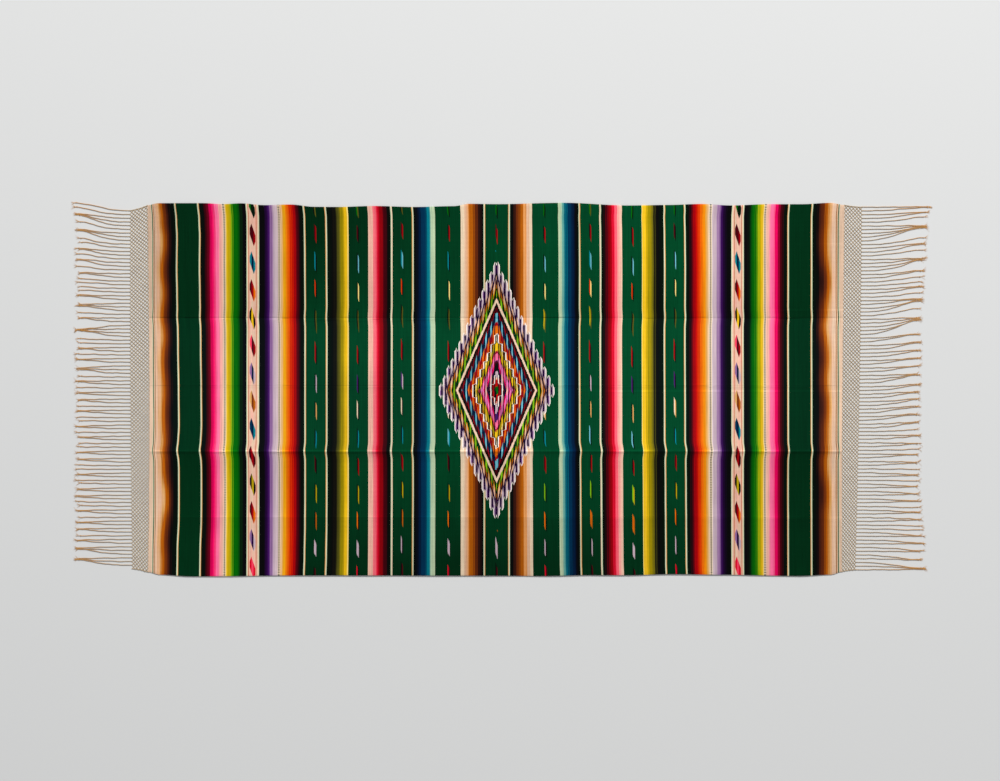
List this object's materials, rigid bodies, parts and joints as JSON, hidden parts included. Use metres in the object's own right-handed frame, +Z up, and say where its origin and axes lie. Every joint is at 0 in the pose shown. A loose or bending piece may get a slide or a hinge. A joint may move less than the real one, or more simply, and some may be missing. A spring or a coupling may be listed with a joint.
{
  "type": "mexican serape",
  "caption": "Rectangular woven wool serape laid flat, with dye-shaded stripes, a serrated diamond medallion, knotted net ends and corded fringes.",
  "frame": {"origin": "under the middle of the whole reach, fringes included, on the surface that the serape lies on", "axes": "+X along the warp towards the right fringe, +Y across it towards the upper selvedge, +Z up out of the face that shows"},
  "size_m": [2.5624, 1.12, 0.0077],
  "materials": {
    "woven_wool": "weft-faced wool with a soft dull sheen",
    "net_cord": "undyed warp cord, knotted, matt",
    "fringe_cord": "undyed warp cord, twisted, matt"
  },
  "bodies": {
    "root": {"serape_cloth": "woven_wool", "net_left": "net_cord", "net_right": "net_cord", "fringe_left": "fringe_cord", "fringe_right": "fringe_cord"}
  },
  "joints": []
}
